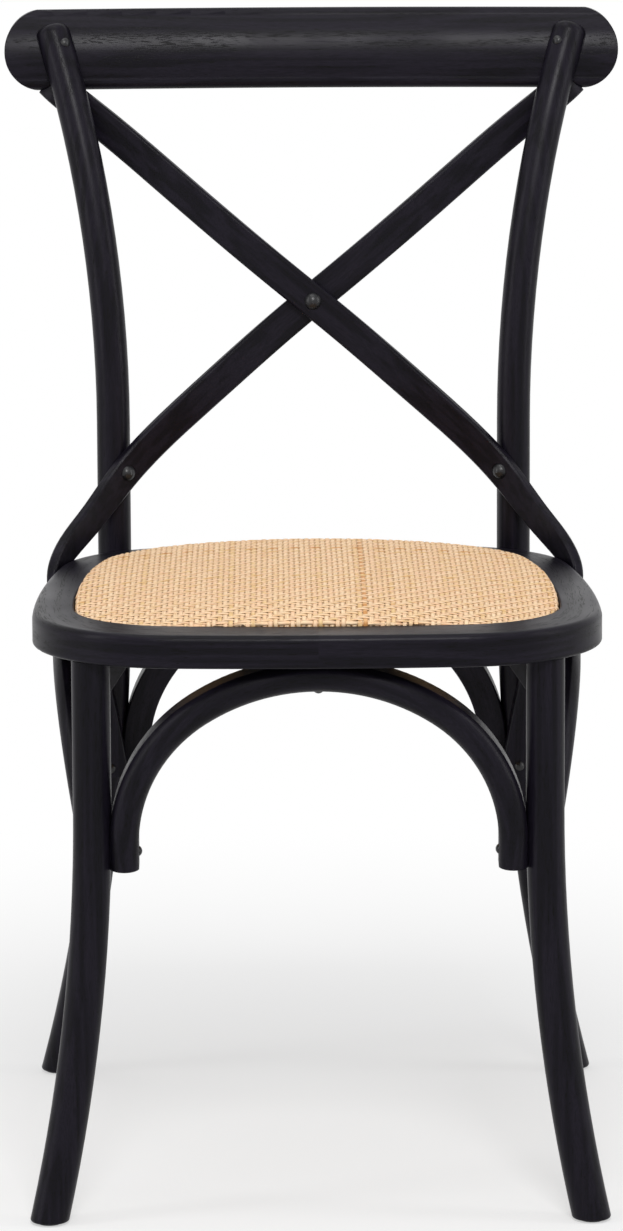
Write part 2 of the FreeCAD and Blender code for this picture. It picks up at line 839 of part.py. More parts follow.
def make_glides():
    """The four foot glides."""
    glides = [make_glide(front_leg_point(side, glide_thickness)) for side in SIDES.values()]
    glides.extend(make_glide(back_leg_point(side, glide_thickness)) for side in SIDES.values())
    return Part.makeCompound(glides)


# The whole chair


def pair(maker):
    """The same small piece on both sides, as one group."""
    return Part.makeCompound([maker(side) for side in SIDES.values()])


def let_in(pieces, tool, names):
    """Cut a piece's seat out of the pieces that receive it."""
    for name in names:
        pieces[name] = only_solid(pieces[name].cut(pieces[tool]))


def build():
    """All pieces of the chair by name."""
    pieces = {
        "seat_ring": make_ring(),
        "seat_board": make_board(),
        "seat_padding": make_padding(),
        "rattan_seat": make_weave(),
        "crest_rail": make_crest(),
        "cross_strap_front": make_strap(True, RIGHT),
        "cross_strap_rear": make_strap(False, LEFT),
        "front_arch": make_arch(*front_arch_ends(), V(0, -1, 0)),
        "rear_arch": make_arch(*rear_arch_ends(), V(0, 1, 0)),
    }
    for name, side in SIDES.items():
        pieces["back_leg_" + name] = make_back_leg(side)
        pieces["front_leg_" + name] = make_front_leg(side)
        pieces["side_arch_" + name] = make_arch(*side_arch_ends(side), V(side, 0, 0))
        pieces["corner_block_" + name] = make_corner_block(side)
    pieces["crossing_bolt"] = make_cross_bolt()
    pieces["strap_post_bolts"] = pair(make_post_bolt)
    pieces["crest_nails"] = pair(make_crest_nail)
    pieces["strap_top_screws"] = pair(make_strap_top_screw)
    pieces["strap_seat_screws"] = pair(make_strap_seat_screw)
    pieces["back_leg_bolts"] = pair(make_leg_bolt)
    pieces["arch_leg_screws"] = make_arch_leg_screws()
    pieces["arch_seat_screws"] = make_apex_screws()
    pieces["corner_block_screws"] = make_block_screws()
    pieces["seat_board_screws"] = make_board_screws()
    pieces["foot_glides"] = make_glides()
    both = {part: [part + "_left", part + "_right"] for part in
            ("back_leg", "front_leg", "side_arch", "corner_block")}
    straps = ["cross_strap_front", "cross_strap_rear"]
    arches = ["front_arch", "rear_arch"] + both["side_arch"]
    for leg in both["back_leg"]:
        let_in(pieces, leg, ["crest_rail", "seat_ring"])
    let_in(pieces, "cross_strap_front", ["cross_strap_rear"])
    for strap in straps:
        let_in(pieces, strap, ["crest_rail", "seat_ring"] + both["back_leg"])
    for leg in both["front_leg"]:
        let_in(pieces, leg, ["seat_ring"])
    let_in(pieces, "seat_ring", arches)
    for arch in arches:
        let_in(pieces, arch, both["front_leg"] + both["back_leg"])
    for side in SIDES:
        let_in(pieces, "corner_block_" + side, ["front_leg_" + side])
    let_in(pieces, "crossing_bolt", straps)
    let_in(pieces, "strap_post_bolts", straps + both["back_leg"])
    let_in(pieces, "crest_nails", both["back_leg"] + ["crest_rail"])
    let_in(pieces, "strap_top_screws", straps + both["back_leg"])
    let_in(pieces, "strap_seat_screws", straps + ["seat_ring"])
    let_in(pieces, "back_leg_bolts", both["back_leg"] + ["seat_ring"])
    let_in(pieces, "arch_leg_screws", arches + both["back_leg"] + both["front_leg"])
    let_in(pieces, "arch_seat_screws", arches + ["seat_ring"])
    let_in(pieces, "corner_block_screws", both["corner_block"] + ["seat_ring"])
    let_in(pieces, "seat_board_screws", ["seat_ring", "seat_board"])
    return pieces


def main():
    """Write one file for each piece."""
    os.makedirs("parts", exist_ok=True)
    for name, shape in build().items():
        print(name, shape.isValid(), len(shape.Solids), round(shape.Volume / 1000, 2), shape.BoundBox)
        shape.exportStep(os.path.join("parts", name + ".step"))


main()
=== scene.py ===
"""Looks of the cross back chair: black stained ash, black lacquered steel and woven peeled rattan.

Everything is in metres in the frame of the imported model: X to the right as seen from the front,
Y to the back and Z up, with the origin on the floor under the middle of the chair. A size whose
name ends in mm is in millimetres.
"""

import logging
import math
import random
from dataclasses import dataclass, field
from enum import Enum

import bmesh
import bpy
from mathutils import Matrix, Vector
from mathutils.bvhtree import BVHTree


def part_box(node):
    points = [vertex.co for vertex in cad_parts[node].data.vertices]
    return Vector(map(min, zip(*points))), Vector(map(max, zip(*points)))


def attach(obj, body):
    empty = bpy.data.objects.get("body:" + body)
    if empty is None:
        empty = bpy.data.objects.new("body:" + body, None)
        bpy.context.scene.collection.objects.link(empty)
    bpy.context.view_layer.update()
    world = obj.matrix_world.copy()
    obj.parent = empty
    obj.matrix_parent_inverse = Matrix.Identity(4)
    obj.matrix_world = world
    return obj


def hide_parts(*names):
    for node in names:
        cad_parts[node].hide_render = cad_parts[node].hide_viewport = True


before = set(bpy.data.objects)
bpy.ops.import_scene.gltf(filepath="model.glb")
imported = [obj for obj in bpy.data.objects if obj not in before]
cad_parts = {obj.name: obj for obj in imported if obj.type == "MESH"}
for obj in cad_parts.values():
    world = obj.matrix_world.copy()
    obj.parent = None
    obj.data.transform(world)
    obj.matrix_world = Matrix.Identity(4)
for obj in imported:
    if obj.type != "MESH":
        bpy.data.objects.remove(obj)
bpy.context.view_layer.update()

LOG = logging.getLogger("cross_back_chair")
MM = 0.001
BODY = "root"
PER_MM = (1 / MM, 1 / MM, 1 / MM)
DOWN = Vector((0, 0, -1))
WHITE = (1.0, 1.0, 1.0, 1.0)

Span = tuple[float, float]
Point = tuple[float, float, float]
Socket = bpy.types.NodeSocket
Tree = bpy.types.NodeTree


def linear(hex_colour: str) -> tuple[float, float, float, float]:
    """Turn an sRGB colour into linear values.

    Args:
        hex_colour: The colour as six hex digits after a hash sign.

    Returns:
        Red, green, blue and an alpha of 1.
    """
    channels = [int(hex_colour[i:i + 2], 16) / 255 for i in (1, 3, 5)]
    red, green, blue = [c / 12.92 if c <= 0.04045 else ((c + 0.055) / 1.055) ** 2.4
                        for c in channels]
    return red, green, blue, 1.0


def add_node(tree: Tree, kind: str, inputs: dict | None = None,
             **settings: object) -> bpy.types.Node:
    """Add a node with its settings, and set or link its inputs.

    Args:
        tree: The node tree that gets the node.
        kind: The node's type name.
        inputs: Values or output sockets by input name or number.
        **settings: Properties of the node itself.

    Returns:
        The new node.
    """
    node = tree.nodes.new(kind)
    for name, value in settings.items():
        setattr(node, name, value)
    for key, value in (inputs or {}).items():
        if isinstance(value, bpy.types.NodeSocket):
            tree.links.new(value, node.inputs[key])
        else:
            node.inputs[key].default_value = value
    return node


def calculate(tree: Tree, operation: str, *values: Socket | float,
              use_clamp: bool = False) -> Socket:
    """Work out one value from others.

    Args:
        tree: The node tree.
        operation: What to do with the values.
        *values: Numbers or sockets, in the order that the operation takes them.
        use_clamp: Whether the result is held between 0 and 1.

    Returns:
        The result.
    """
    return add_node(tree, "ShaderNodeMath", dict(enumerate(values)), operation=operation,
                    use_clamp=use_clamp).outputs[0]


def stretch(tree: Tree, place: Socket, factors: Point) -> Socket:
    """Multiply a vector axis by axis.

    Args:
        tree: The node tree.
        place: The vector.
        factors: A factor for each axis.

    Returns:
        The stretched vector.
    """
    return add_node(tree, "ShaderNodeVectorMath", {0: place, 1: factors},
                    operation="MULTIPLY").outputs[0]


def remap(tree: Tree, value: Socket, source: tuple = (0.0, 1.0), target: Span = (0.0, 1.0),
          kind: str = "LINEAR") -> Socket:
    """Carry a value over from one span to another, held at both ends.

    Args:
        tree: The node tree.
        value: The value.
        source: Two numbers or sockets between which the value counts.
        target: What the result is at the two ends.
        kind: How the result changes in between.

    Returns:
        The new value.
    """
    return add_node(tree, "ShaderNodeMapRange",
                    {"Value": value, 1: source[0], 2: source[1], 3: target[0], 4: target[1]},
                    interpolation_type=kind).outputs[0]


def blend(tree: Tree, share: Socket, first: Socket | tuple, second: Socket | tuple) -> Socket:
    """Mix two colours.

    Args:
        tree: The node tree.
        share: How much of the second colour there is.
        first: The first colour.
        second: The second colour.

    Returns:
        The mixed colour.
    """
    return add_node(tree, "ShaderNodeMix", {0: share, 6: first, 7: second},
                    data_type="RGBA").outputs[2]


def noise(tree: Tree, place: Socket, scale: float = 1.0, detail: float = 2.0,
          distortion: float = 0.0) -> Socket:
    """Add a noise pattern.

    Args:
        tree: The node tree.
        place: The coordinates that it reads.
        scale: How many grains it has per unit.
        detail: How many finer layers it has.
        distortion: How much it is warped.

    Returns:
        The noise value.
    """
    return add_node(tree, "ShaderNodeTexNoise",
                    {"Vector": place, "Scale": scale, "Detail": detail,
                     "Distortion": distortion}).outputs["Fac"]


def own_place(tree: Tree) -> Socket:
    """Give the piece's own coordinates.

    Args:
        tree: The node tree.

    Returns:
        The coordinates in metres.
    """
    return add_node(tree, "ShaderNodeTexCoord").outputs["Object"]


@dataclass(frozen=True)
class Relief:
    """How strongly a height pattern shows, and how deep it is."""

    strength: float
    depth_mm: float

    def normal(self, tree: Tree, height: Socket, under: Socket | None = None) -> Socket:
        """Turn a height pattern into a surface direction.

        Args:
            tree: The node tree.
            height: The pattern.
            under: The surface direction that it starts from, if not the plain one.

        Returns:
            The surface direction.
        """
        inputs = {"Strength": self.strength, "Distance": self.depth_mm * MM, "Height": height}
        if under is not None:
            inputs["Normal"] = under
        return add_node(tree, "ShaderNodeBump", inputs).outputs[0]


def new_tree(name: str) -> tuple[bpy.types.Material, Tree]:
    """Make an empty node material.

    Args:
        name: The material's name.

    Returns:
        The material and its node tree.
    """
    material = bpy.data.materials.new(name)
    material.use_nodes = True
    material.node_tree.nodes.clear()
    return material, material.node_tree


def put_out(tree: Tree, shader: bpy.types.Node) -> None:
    """Link a shader to the material's output.

    Args:
        tree: The material's node tree.
        shader: The shader node.
    """
    add_node(tree, "ShaderNodeOutputMaterial", {"Surface": shader.outputs[0]})


def put_surface(tree: Tree, colour: Socket | tuple, roughness: Socket | float,
                specular: float, normal: Socket) -> None:
    """Add the surface shader of a finish.

    Args:
        tree: The material's node tree.
        colour: Base colour.
        roughness: Roughness, from 0 to 1.
        specular: Specular level.
        normal: Surface direction with the relief.
    """
    put_out(tree, add_node(tree, "ShaderNodeBsdfPrincipled", {
        "Base Color": colour, "Roughness": roughness, "Specular IOR Level": specular,
        "Normal": normal}))


class Grain(Enum):
    """How the grain runs through a wooden piece."""

    UPRIGHT = "upright"
    CROSSWISE = "crosswise"
    RISING = "rising"
    FALLING = "falling"
    FRONT_ARCH = "front_arch"
    SIDE_ARCH = "side_arch"
    RING = "ring"


@dataclass(frozen=True)
class Bend:
    """A bend that the grain follows.

    Its plane is given by the numbers of the axes aside and up, with the depth across it. A power
    of 2 makes the bend round, and 4 makes it a square with rounded corners.
    """

    aside: int
    up: int
    depth: int
    centre: Span
    power: float


LEANS = {Grain.UPRIGHT: 0.0, Grain.CROSSWISE: 90.0, Grain.RISING: 50.4, Grain.FALLING: -50.4}
BENDS = {
    Grain.RING: Bend(aside=0, up=1, depth=2, centre=(0.0, -0.047), power=4.0),
    Grain.FRONT_ARCH: Bend(aside=0, up=2, depth=1, centre=(0.0, 0.290), power=2.0),
    Grain.SIDE_ARCH: Bend(aside=1, up=2, depth=0, centre=(-0.022, 0.290), power=2.0),
}


@dataclass(frozen=True)
class StainedAsh:
    """Open-pored ash, stained black and sprayed with a satin lacquer.

    The stain leaves a very dark wood that is a little blue. The lacquer gives soft wide
    highlights, and the pores, which it doesn't fill, show as short dull furrows along the grain.
    Spans are the parts of a noise pattern between which a feature fades in.
    """

    stain: str = "#0E0C13"
    stain_light: str = "#1A1720"
    pore: str = "#070608"
    roughness: float = 0.33
    roughness_swing: Span = (-0.05, 0.07)
    pore_roughness: float = 0.46
    specular: float = 0.1
    edge_round_mm: float = 1.5
    edge_samples: int = 6
    pore_width_mm: float = 0.6  # real pores are about 0.3 mm wide, drawn wider so that they show
    pore_length_mm: float = 11.0
    pore_detail: float = 1.5
    pore_start: float = 0.66
    pore_start_early: float = -0.13  # more pores open in the early wood of each year
    pore_fade: float = 0.09
    fibre_span: Span = (0.25, 0.6)
    year_width_mm: float = 5.5
    year_length_mm: float = 230.0
    year_detail: float = 1.0
    early_span: Span = (0.42, 0.6)
    mottle_mm: float = 45.0
    mottle_stretch: float = 2.0
    mottle_detail: float = 2.0
    mottle_span: Span = (0.3, 0.7)
    scuff_mm: float = 2.6
    scuff_stretch: float = 14.0
    scuff_detail: float = 3.0
    scuff_span: Span = (0.66, 0.74)
    scuff_roughness: float = 0.09
    relief: Relief = Relief(strength=0.32, depth_mm=0.1)
    fibre_height: float = 0.22
    year_height: float = 0.5
    bend_radius: float = 0.2

    def along_grain(self, tree: Tree, grain: Grain) -> Socket:
        """Give coordinates in millimetres, with Z along the grain.

        Args:
            tree: The material's node tree.
            grain: How the grain runs.

        Returns:
            The vector that patterns read.
        """
        place = own_place(tree)
        if grain in BENDS:
            return self.along_bend(tree, place, BENDS[grain])
        turn = (0.0, -math.radians(LEANS[grain]), 0.0)
        return add_node(tree, "ShaderNodeMapping",
                        {"Vector": place, "Rotation": turn, "Scale": PER_MM}).outputs[0]

    def along_bend(self, tree: Tree, place: Socket, bend: Bend) -> Socket:
        """Give coordinates in millimetres that follow wood bent round a centre.

        Args:
            tree: The material's node tree.
            place: The piece's own coordinates.
            bend: The bend.

        Returns:
            A vector of the distance from the centre, the depth and the way along the bend.
        """
        axes = add_node(tree, "ShaderNodeSeparateXYZ", {0: place}).outputs
        offsets = [calculate(tree, "SUBTRACT", axes[axis], middle)
                   for axis, middle in zip((bend.aside, bend.up), bend.centre)]
        powers = [calculate(tree, "POWER", calculate(tree, "ABSOLUTE", offset), bend.power)
                  for offset in offsets]
        radius = calculate(tree, "POWER", calculate(tree, "ADD", *powers), 1 / bend.power)
        angle = calculate(tree, "ARCTAN2", *offsets)
        run = calculate(tree, "MULTIPLY", angle, self.bend_radius)
        joined = add_node(tree, "ShaderNodeCombineXYZ", {0: radius, 1: axes[bend.depth], 2: run})
        return stretch(tree, joined.outputs[0], PER_MM)

    def pattern(self, tree: Tree, run: Socket, width: float, length: float,
                detail: float) -> Socket:
        """Draw noise out along the grain.

        Args:
            tree: The material's node tree.
            run: Coordinates with Z along the grain.
            width: Size across the grain in millimetres.
            length: Size along the grain in millimetres.
            detail: How many finer layers the noise has.

        Returns:
            The noise value.
        """
        return noise(tree, stretch(tree, run, (1 / width, 1 / width, 1 / length)), detail=detail)

    def material(self, name: str, grain: Grain) -> bpy.types.Material:
        """Build the finish for one way of the grain.

        Args:
            name: The material's name.
            grain: How the grain runs.

        Returns:
            The material.
        """
        material, tree = new_tree(name)
        run = self.along_grain(tree, grain)
        fine = self.pattern(tree, run, self.pore_width_mm, self.pore_length_mm, self.pore_detail)
        years = self.pattern(tree, run, self.year_width_mm, self.year_length_mm, self.year_detail)
        mottle = self.pattern(tree, run, self.mottle_mm, self.mottle_mm * self.mottle_stretch,
                              self.mottle_detail)
        scuffs = self.pattern(tree, run, self.scuff_mm, self.scuff_mm * self.scuff_stretch,
                              self.scuff_detail)

        early = remap(tree, years, self.early_span)
        start = calculate(tree, "MULTIPLY_ADD", early, self.pore_start_early, self.pore_start)
        full = calculate(tree, "ADD", start, self.pore_fade)
        pores = remap(tree, fine, (start, full), kind="SMOOTHSTEP")
        fibre = remap(tree, fine, self.fibre_span)
        ground = blend(tree, fibre, linear(self.stain), linear(self.stain_light))
        banded = blend(tree, early, ground, linear(self.stain))
        colour = blend(tree, pores, banded, linear(self.pore))

        low, high = self.roughness_swing
        satin = remap(tree, mottle, self.mottle_span,
                      (self.roughness + low, self.roughness + high))
        worn = remap(tree, scuffs, self.scuff_span, (0.0, self.scuff_roughness))
        sheen = calculate(tree, "ADD", satin, worn)
        roughness = add_node(tree, "ShaderNodeMix", {0: pores, 2: sheen, 3: self.pore_roughness})

        furrows = calculate(tree, "MULTIPLY", pores, -1.0)
        grooves = calculate(tree, "MULTIPLY_ADD", fibre, self.fibre_height, furrows)
        waves = calculate(tree, "MULTIPLY_ADD", years, self.year_height, grooves)
        eased = add_node(tree, "ShaderNodeBevel", {"Radius": self.edge_round_mm * MM},
                         samples=self.edge_samples).outputs[0]
        put_surface(tree, colour, roughness.outputs[0], self.specular,
                    self.relief.normal(tree, waves, eased))
        return material


@dataclass(frozen=True)
class LacqueredSteel:
    """Steel rivets and screws with black stoving lacquer.

    Smoother than the wood, so each dome keeps a small clear highlight, with a faint orange peel
    and a few rubbed spots.
    """

    lacquer: str = "#121215"
    rubbed: str = "#3A3836"
    roughness: float = 0.27
    roughness_swing: Span = (-0.05, 0.15)
    specular: float = 0.4
    peel_mm: float = 0.9
    rub_mm: float = 5.0
    rub_detail: float = 4.0
    rub_span: Span = (0.6, 0.72)
    rub_share: float = 0.5
    relief: Relief = Relief(strength=0.4, depth_mm=0.03)

    def material(self) -> bpy.types.Material:
        """Build the finish.

        Returns:
            The material.
        """
        material, tree = new_tree("black_lacquered_steel")
        place = own_place(tree)
        peel = noise(tree, place, 1 / (self.peel_mm * MM))
        rub = noise(tree, place, 1 / (self.rub_mm * MM), self.rub_detail)
        spots = remap(tree, rub, self.rub_span, (0.0, self.rub_share))
        colour = blend(tree, spots, linear(self.lacquer), linear(self.rubbed))
        low, high = self.roughness_swing
        roughness = remap(tree, rub, target=(self.roughness + low, self.roughness + high))
        put_surface(tree, colour, roughness, self.specular, self.relief.normal(tree, peel))
        return material


@dataclass(frozen=True)
class BirchPlywood:
    """Sanded birch plywood: pale, matt, with the wavy figure of rotary-cut veneer."""

    veneer: str = "#D2B186"
    figure: str = "#B98F60"
    roughness: float = 0.68
    specular: float = 0.3
    figure_mm: float = 16.0
    figure_length_mm: float = 190.0
    figure_detail: float = 3.0
    figure_waviness: float = 0.9
    figure_span: Span = (0.35, 0.65)
    fibre_mm: float = 0.8
    fibre_stretch: float = 20.0
    relief: Relief = Relief(strength=0.4, depth_mm=0.1)

    def material(self) -> bpy.types.Material:
        """Build the finish.

        Returns:
            The material.
        """
        material, tree = new_tree("birch_plywood")
        place = own_place(tree)
        wide, long = 1 / (self.figure_mm * MM), 1 / (self.figure_length_mm * MM)
        figure = noise(tree, stretch(tree, place, (wide, long, wide)),
                       detail=self.figure_detail, distortion=self.figure_waviness)
        thin = 1 / (self.fibre_mm * MM)
        fibre = noise(tree, stretch(tree, place, (thin, thin / self.fibre_stretch, thin)))
        bands = remap(tree, figure, self.figure_span)
        colour = blend(tree, bands, linear(self.veneer), linear(self.figure))
        put_surface(tree, colour, self.roughness, self.specular, self.relief.normal(tree, fibre))
        return material


@dataclass(frozen=True)
class MouldedNylon:
    """Black moulded nylon glides, dull and a little scratched by the floor."""

    colour: str = "#1A1918"
    roughness: float = 0.5
    roughness_swing: Span = (-0.1, 0.2)
    specular: float = 0.5
    scratch_mm: float = 1.2
    scratch_detail: float = 4.0
    relief: Relief = Relief(strength=0.3, depth_mm=0.05)

    def material(self) -> bpy.types.Material:
        """Build the finish.

        Returns:
            The material.
        """
        material, tree = new_tree("moulded_nylon")
        grit = noise(tree, own_place(tree), 1 / (self.scratch_mm * MM), self.scratch_detail)
        low, high = self.roughness_swing
        roughness = remap(tree, grit, target=(self.roughness + low, self.roughness + high))
        put_surface(tree, linear(self.colour), roughness, self.specular,
                    self.relief.normal(tree, grit))
        return material


@dataclass(frozen=True)
class BrownFelt:
    """Brown needled felt over the pad: no gloss, with short loose fibres.

    Where the pad's rim is steep it takes the rattan's colour, because the strips that turn down
    there stand open, and dark felt between them would look like a gap.
    """

    dark: str = "#2E1B0D"
    light: str = "#452C18"
    rim: str = "#BE9058"
    rim_span: Span = (0.95, 0.7)
    roughness: float = 0.95
    specular: float = 0.1
    fibre_mm: float = 0.7
    fibre_detail: float = 3.0
    patch_mm: float = 8.0
    relief: Relief = Relief(strength=0.6, depth_mm=0.3)

    def material(self) -> bpy.types.Material:
        """Build the finish.

        Returns:
            The material.
        """
        material, tree = new_tree("brown_felt")
        place = own_place(tree)
        fibre = noise(tree, place, 1 / (self.fibre_mm * MM), self.fibre_detail)
        patch = noise(tree, place, 1 / (self.patch_mm * MM))
        felt = blend(tree, patch, linear(self.dark), linear(self.light))
        facing = add_node(tree, "ShaderNodeNewGeometry").outputs["Normal"]
        upward = add_node(tree, "ShaderNodeSeparateXYZ", {0: facing}).outputs[2]
        colour = blend(tree, remap(tree, upward, self.rim_span), felt, linear(self.rim))
        put_surface(tree, colour, self.roughness, self.specular, self.relief.normal(tree, fibre))
        return material


@dataclass(frozen=True)
class PeeledRattan:
    """Flat strips of peeled rattan, uncoated.

    Pale straw with strips that lean to pink, yellow or honey, a dry soft sheen, and fine fibres
    that run along each strip. Each strip is darker along its long edges: partly its real cut edge,
    partly painted shade of the gaps between strips.
    """

    tones: tuple[tuple[float, str], ...] = (
        (0.0, "#F0CC9E"), (0.28, "#F8DAB4"), (0.52, "#F4CCA6"),
        (0.72, "#EDCB93"), (0.9, "#E4B37E"), (1.0, "#D2965A"))
    dark: str = "#B27F4A"
    roughness: float = 0.52
    roughness_swing: Span = (-0.08, 0.14)
    specular: float = 0.35
    fibre_width_mm: float = 0.45
    fibre_length_mm: float = 16.0
    fibre_step: float = 90.0  # the steps set the patterns of strips of unlike tone apart
    streak_span: Span = (0.5, 0.8)
    streak_share: float = 0.55
    blotch_width_mm: float = 44.0
    blotch_length_mm: float = 11.0
    blotch_step: float = 60.0
    blotch_gain: float = 1.1
    blotch_shift: float = -0.55
    # darkening towards each strip's long edges: partly the real cut edge, partly painted shade of
    # the gaps between strips
    cut_edge_and_gap_shade_span_mm: Span = (1.2, 1.7)
    cut_edge_and_gap_shade_share: float = 0.6
    relief: Relief = Relief(strength=0.5, depth_mm=0.07)

    def strip_tone(self, tree: Tree, flow: Socket, tone: Socket) -> Socket:
        """Give each strip its own colour, which drifts along it.

        Args:
            tree: The material's node tree.
            flow: Coordinates along the strip.
            tone: The strip's tone, from 0 to 1.

        Returns:
            The colour.
        """
        wide = (1 / self.blotch_width_mm, 1 / self.blotch_length_mm, self.blotch_step)
        blotch = noise(tree, stretch(tree, flow, wide))
        shift = calculate(tree, "MULTIPLY_ADD", blotch, self.blotch_gain, self.blotch_shift)
        ramp = add_node(tree, "ShaderNodeValToRGB",
                        {0: calculate(tree, "ADD", tone, shift, use_clamp=True)})
        stops = ramp.color_ramp.elements
        while len(stops) < len(self.tones):
            stops.new(0.5)
        for stop, (place, colour) in zip(stops, self.tones):
            stop.position = place
            stop.color = linear(colour)
        return ramp.outputs[0]

    def material(self) -> bpy.types.Material:
        """Build the finish, which reads the strips' own tone, run and side attributes.

        Returns:
            The material.
        """
        material, tree = new_tree("peeled_rattan")
        tone, run, side = [
            add_node(tree, "ShaderNodeAttribute", attribute_name=name).outputs["Fac"]
            for name in ("tone", "run_mm", "side_mm")]
        flow = add_node(tree, "ShaderNodeCombineXYZ", {0: side, 1: run, 2: tone}).outputs[0]
        fine = (1 / self.fibre_width_mm, 1 / self.fibre_length_mm, self.fibre_step)
        fibre = noise(tree, stretch(tree, flow, fine))
        streak = remap(tree, fibre, self.streak_span, (0.0, self.streak_share))
        # painted shade: the strip darkens towards its long edges, partly as a real cut edge and
        # partly as shade of the gaps between strips
        edge_and_gap_shade = remap(tree, calculate(tree, "ABSOLUTE", side), self.cut_edge_and_gap_shade_span_mm,
                    (0.0, self.cut_edge_and_gap_shade_share))
        streaked = blend(tree, streak, self.strip_tone(tree, flow, tone), linear(self.dark))
        colour = blend(tree, edge_and_gap_shade, streaked, linear(self.dark))
        low, high = self.roughness_swing
        roughness = remap(tree, fibre, target=(self.roughness + low, self.roughness + high))
        put_surface(tree, colour, roughness, self.specular, self.relief.normal(tree, fibre))
        return material


def dress(node: str, material: bpy.types.Material) -> None:
    """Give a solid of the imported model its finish.

    Args:
        node: The node's name.
        material: The finish.
    """
    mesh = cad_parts[node].data
    mesh.materials.clear()
    mesh.materials.append(material)
    LOG.info("dressed %s with %s", node, material.name)


def add_piece(name: str, shape: bmesh.types.BMesh, material: bpy.types.Material,
              stands_for: tuple[str, ...]) -> bpy.types.Object:
    """Turn a finished shape into a piece that rides on the chair.

    Args:
        name: The piece's name.
        shape: The shape, which is freed.
        material: The finish.
        stands_for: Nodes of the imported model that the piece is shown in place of.

    Returns:
        The new object.
    """
    mesh = bpy.data.meshes.new(name)
    shape.to_mesh(mesh)
    shape.free()
    mesh.materials.append(material)
    mesh.shade_smooth()
    piece = bpy.data.objects.new(name, mesh)
    bpy.context.scene.collection.objects.link(piece)
    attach(piece, BODY)
    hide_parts(*stands_for)
    LOG.info("made %s with %d faces", name, len(mesh.polygons))
    return piece


@dataclass
class WoodenFrame:
    """Everything of stained wood: legs, ring, crest rail, straps, arches and corner blocks."""

    finish: StainedAsh = field(default_factory=StainedAsh)
    grain_by_node: dict[str, Grain] = field(default_factory=lambda: {
        "seat_ring": Grain.RING,
        "crest_rail": Grain.CROSSWISE,
        "cross_strap_front": Grain.FALLING,
        "cross_strap_rear": Grain.RISING,
        "front_arch": Grain.FRONT_ARCH,
        "rear_arch": Grain.FRONT_ARCH,
        "side_arch_left": Grain.SIDE_ARCH,
        "side_arch_right": Grain.SIDE_ARCH,
        "back_leg_left": Grain.UPRIGHT,
        "back_leg_right": Grain.UPRIGHT,
        "front_leg_left": Grain.UPRIGHT,
        "front_leg_right": Grain.UPRIGHT,
        "corner_block_left": Grain.CROSSWISE,
        "corner_block_right": Grain.CROSSWISE,
    })

    def dress(self) -> None:
        """Give each wooden node the finish whose grain follows it."""
        finishes = {grain: self.finish.material("black_ash_" + grain.value, grain)
                    for grain in Grain}
        for node, grain in self.grain_by_node.items():
            dress(node, finishes[grain])


@dataclass
class Fastenings:
    """Rivets, nails, bolts, screws and the foot glides."""

    steel: LacqueredSteel = field(default_factory=LacqueredSteel)
    nylon: MouldedNylon = field(default_factory=MouldedNylon)
    steel_nodes: tuple[str, ...] = (
        "crossing_bolt", "strap_post_bolts", "crest_nails", "strap_top_screws",
        "strap_seat_screws", "back_leg_bolts", "arch_leg_screws", "arch_seat_screws",
        "corner_block_screws", "seat_board_screws")

    def dress(self) -> None:
        """Give the metal and nylon nodes their finishes."""
        finish = self.steel.material()
        for node in self.steel_nodes:
            dress(node, finish)
        dress("foot_glides", self.nylon.material())


class Way(Enum):
    """Which way a rattan strip runs over the seat."""

    FRONT_TO_BACK = "front_to_back"
    SIDE_TO_SIDE = "side_to_side"


